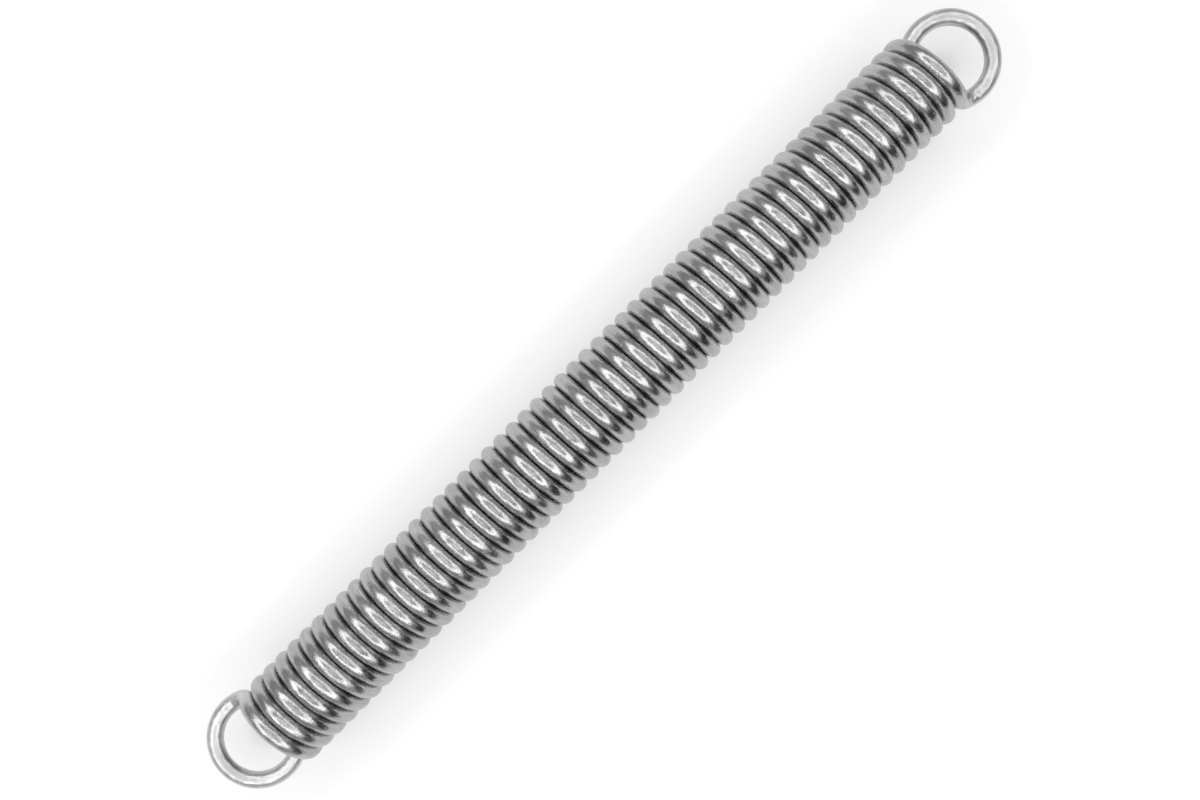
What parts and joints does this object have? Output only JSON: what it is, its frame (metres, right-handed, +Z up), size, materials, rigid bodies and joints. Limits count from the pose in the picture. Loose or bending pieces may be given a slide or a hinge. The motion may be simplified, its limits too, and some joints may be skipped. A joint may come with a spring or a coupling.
{
  "type": "extension spring",
  "caption": "Close-wound extension spring of round steel wire with a full round loop at each end for a hook, pin or eye, lying on its side.",
  "frame": {"origin": "centre of the bottom of the bounding box, on the surface the coils rest on, under the middle of the spring's axis", "axes": "+X along the spring's axis towards one loop, +Y across it in the plane of both loops, +Z up, away from the surface it lies on"},
  "size_m": [0.188, 0.0198, 0.0175],
  "materials": {
    "spring_wire": "bright drawn wire with light forming marks at the end bends"
  },
  "bodies": {
    "root": {"extension_spring": "spring_wire"}
  },
  "joints": []
}
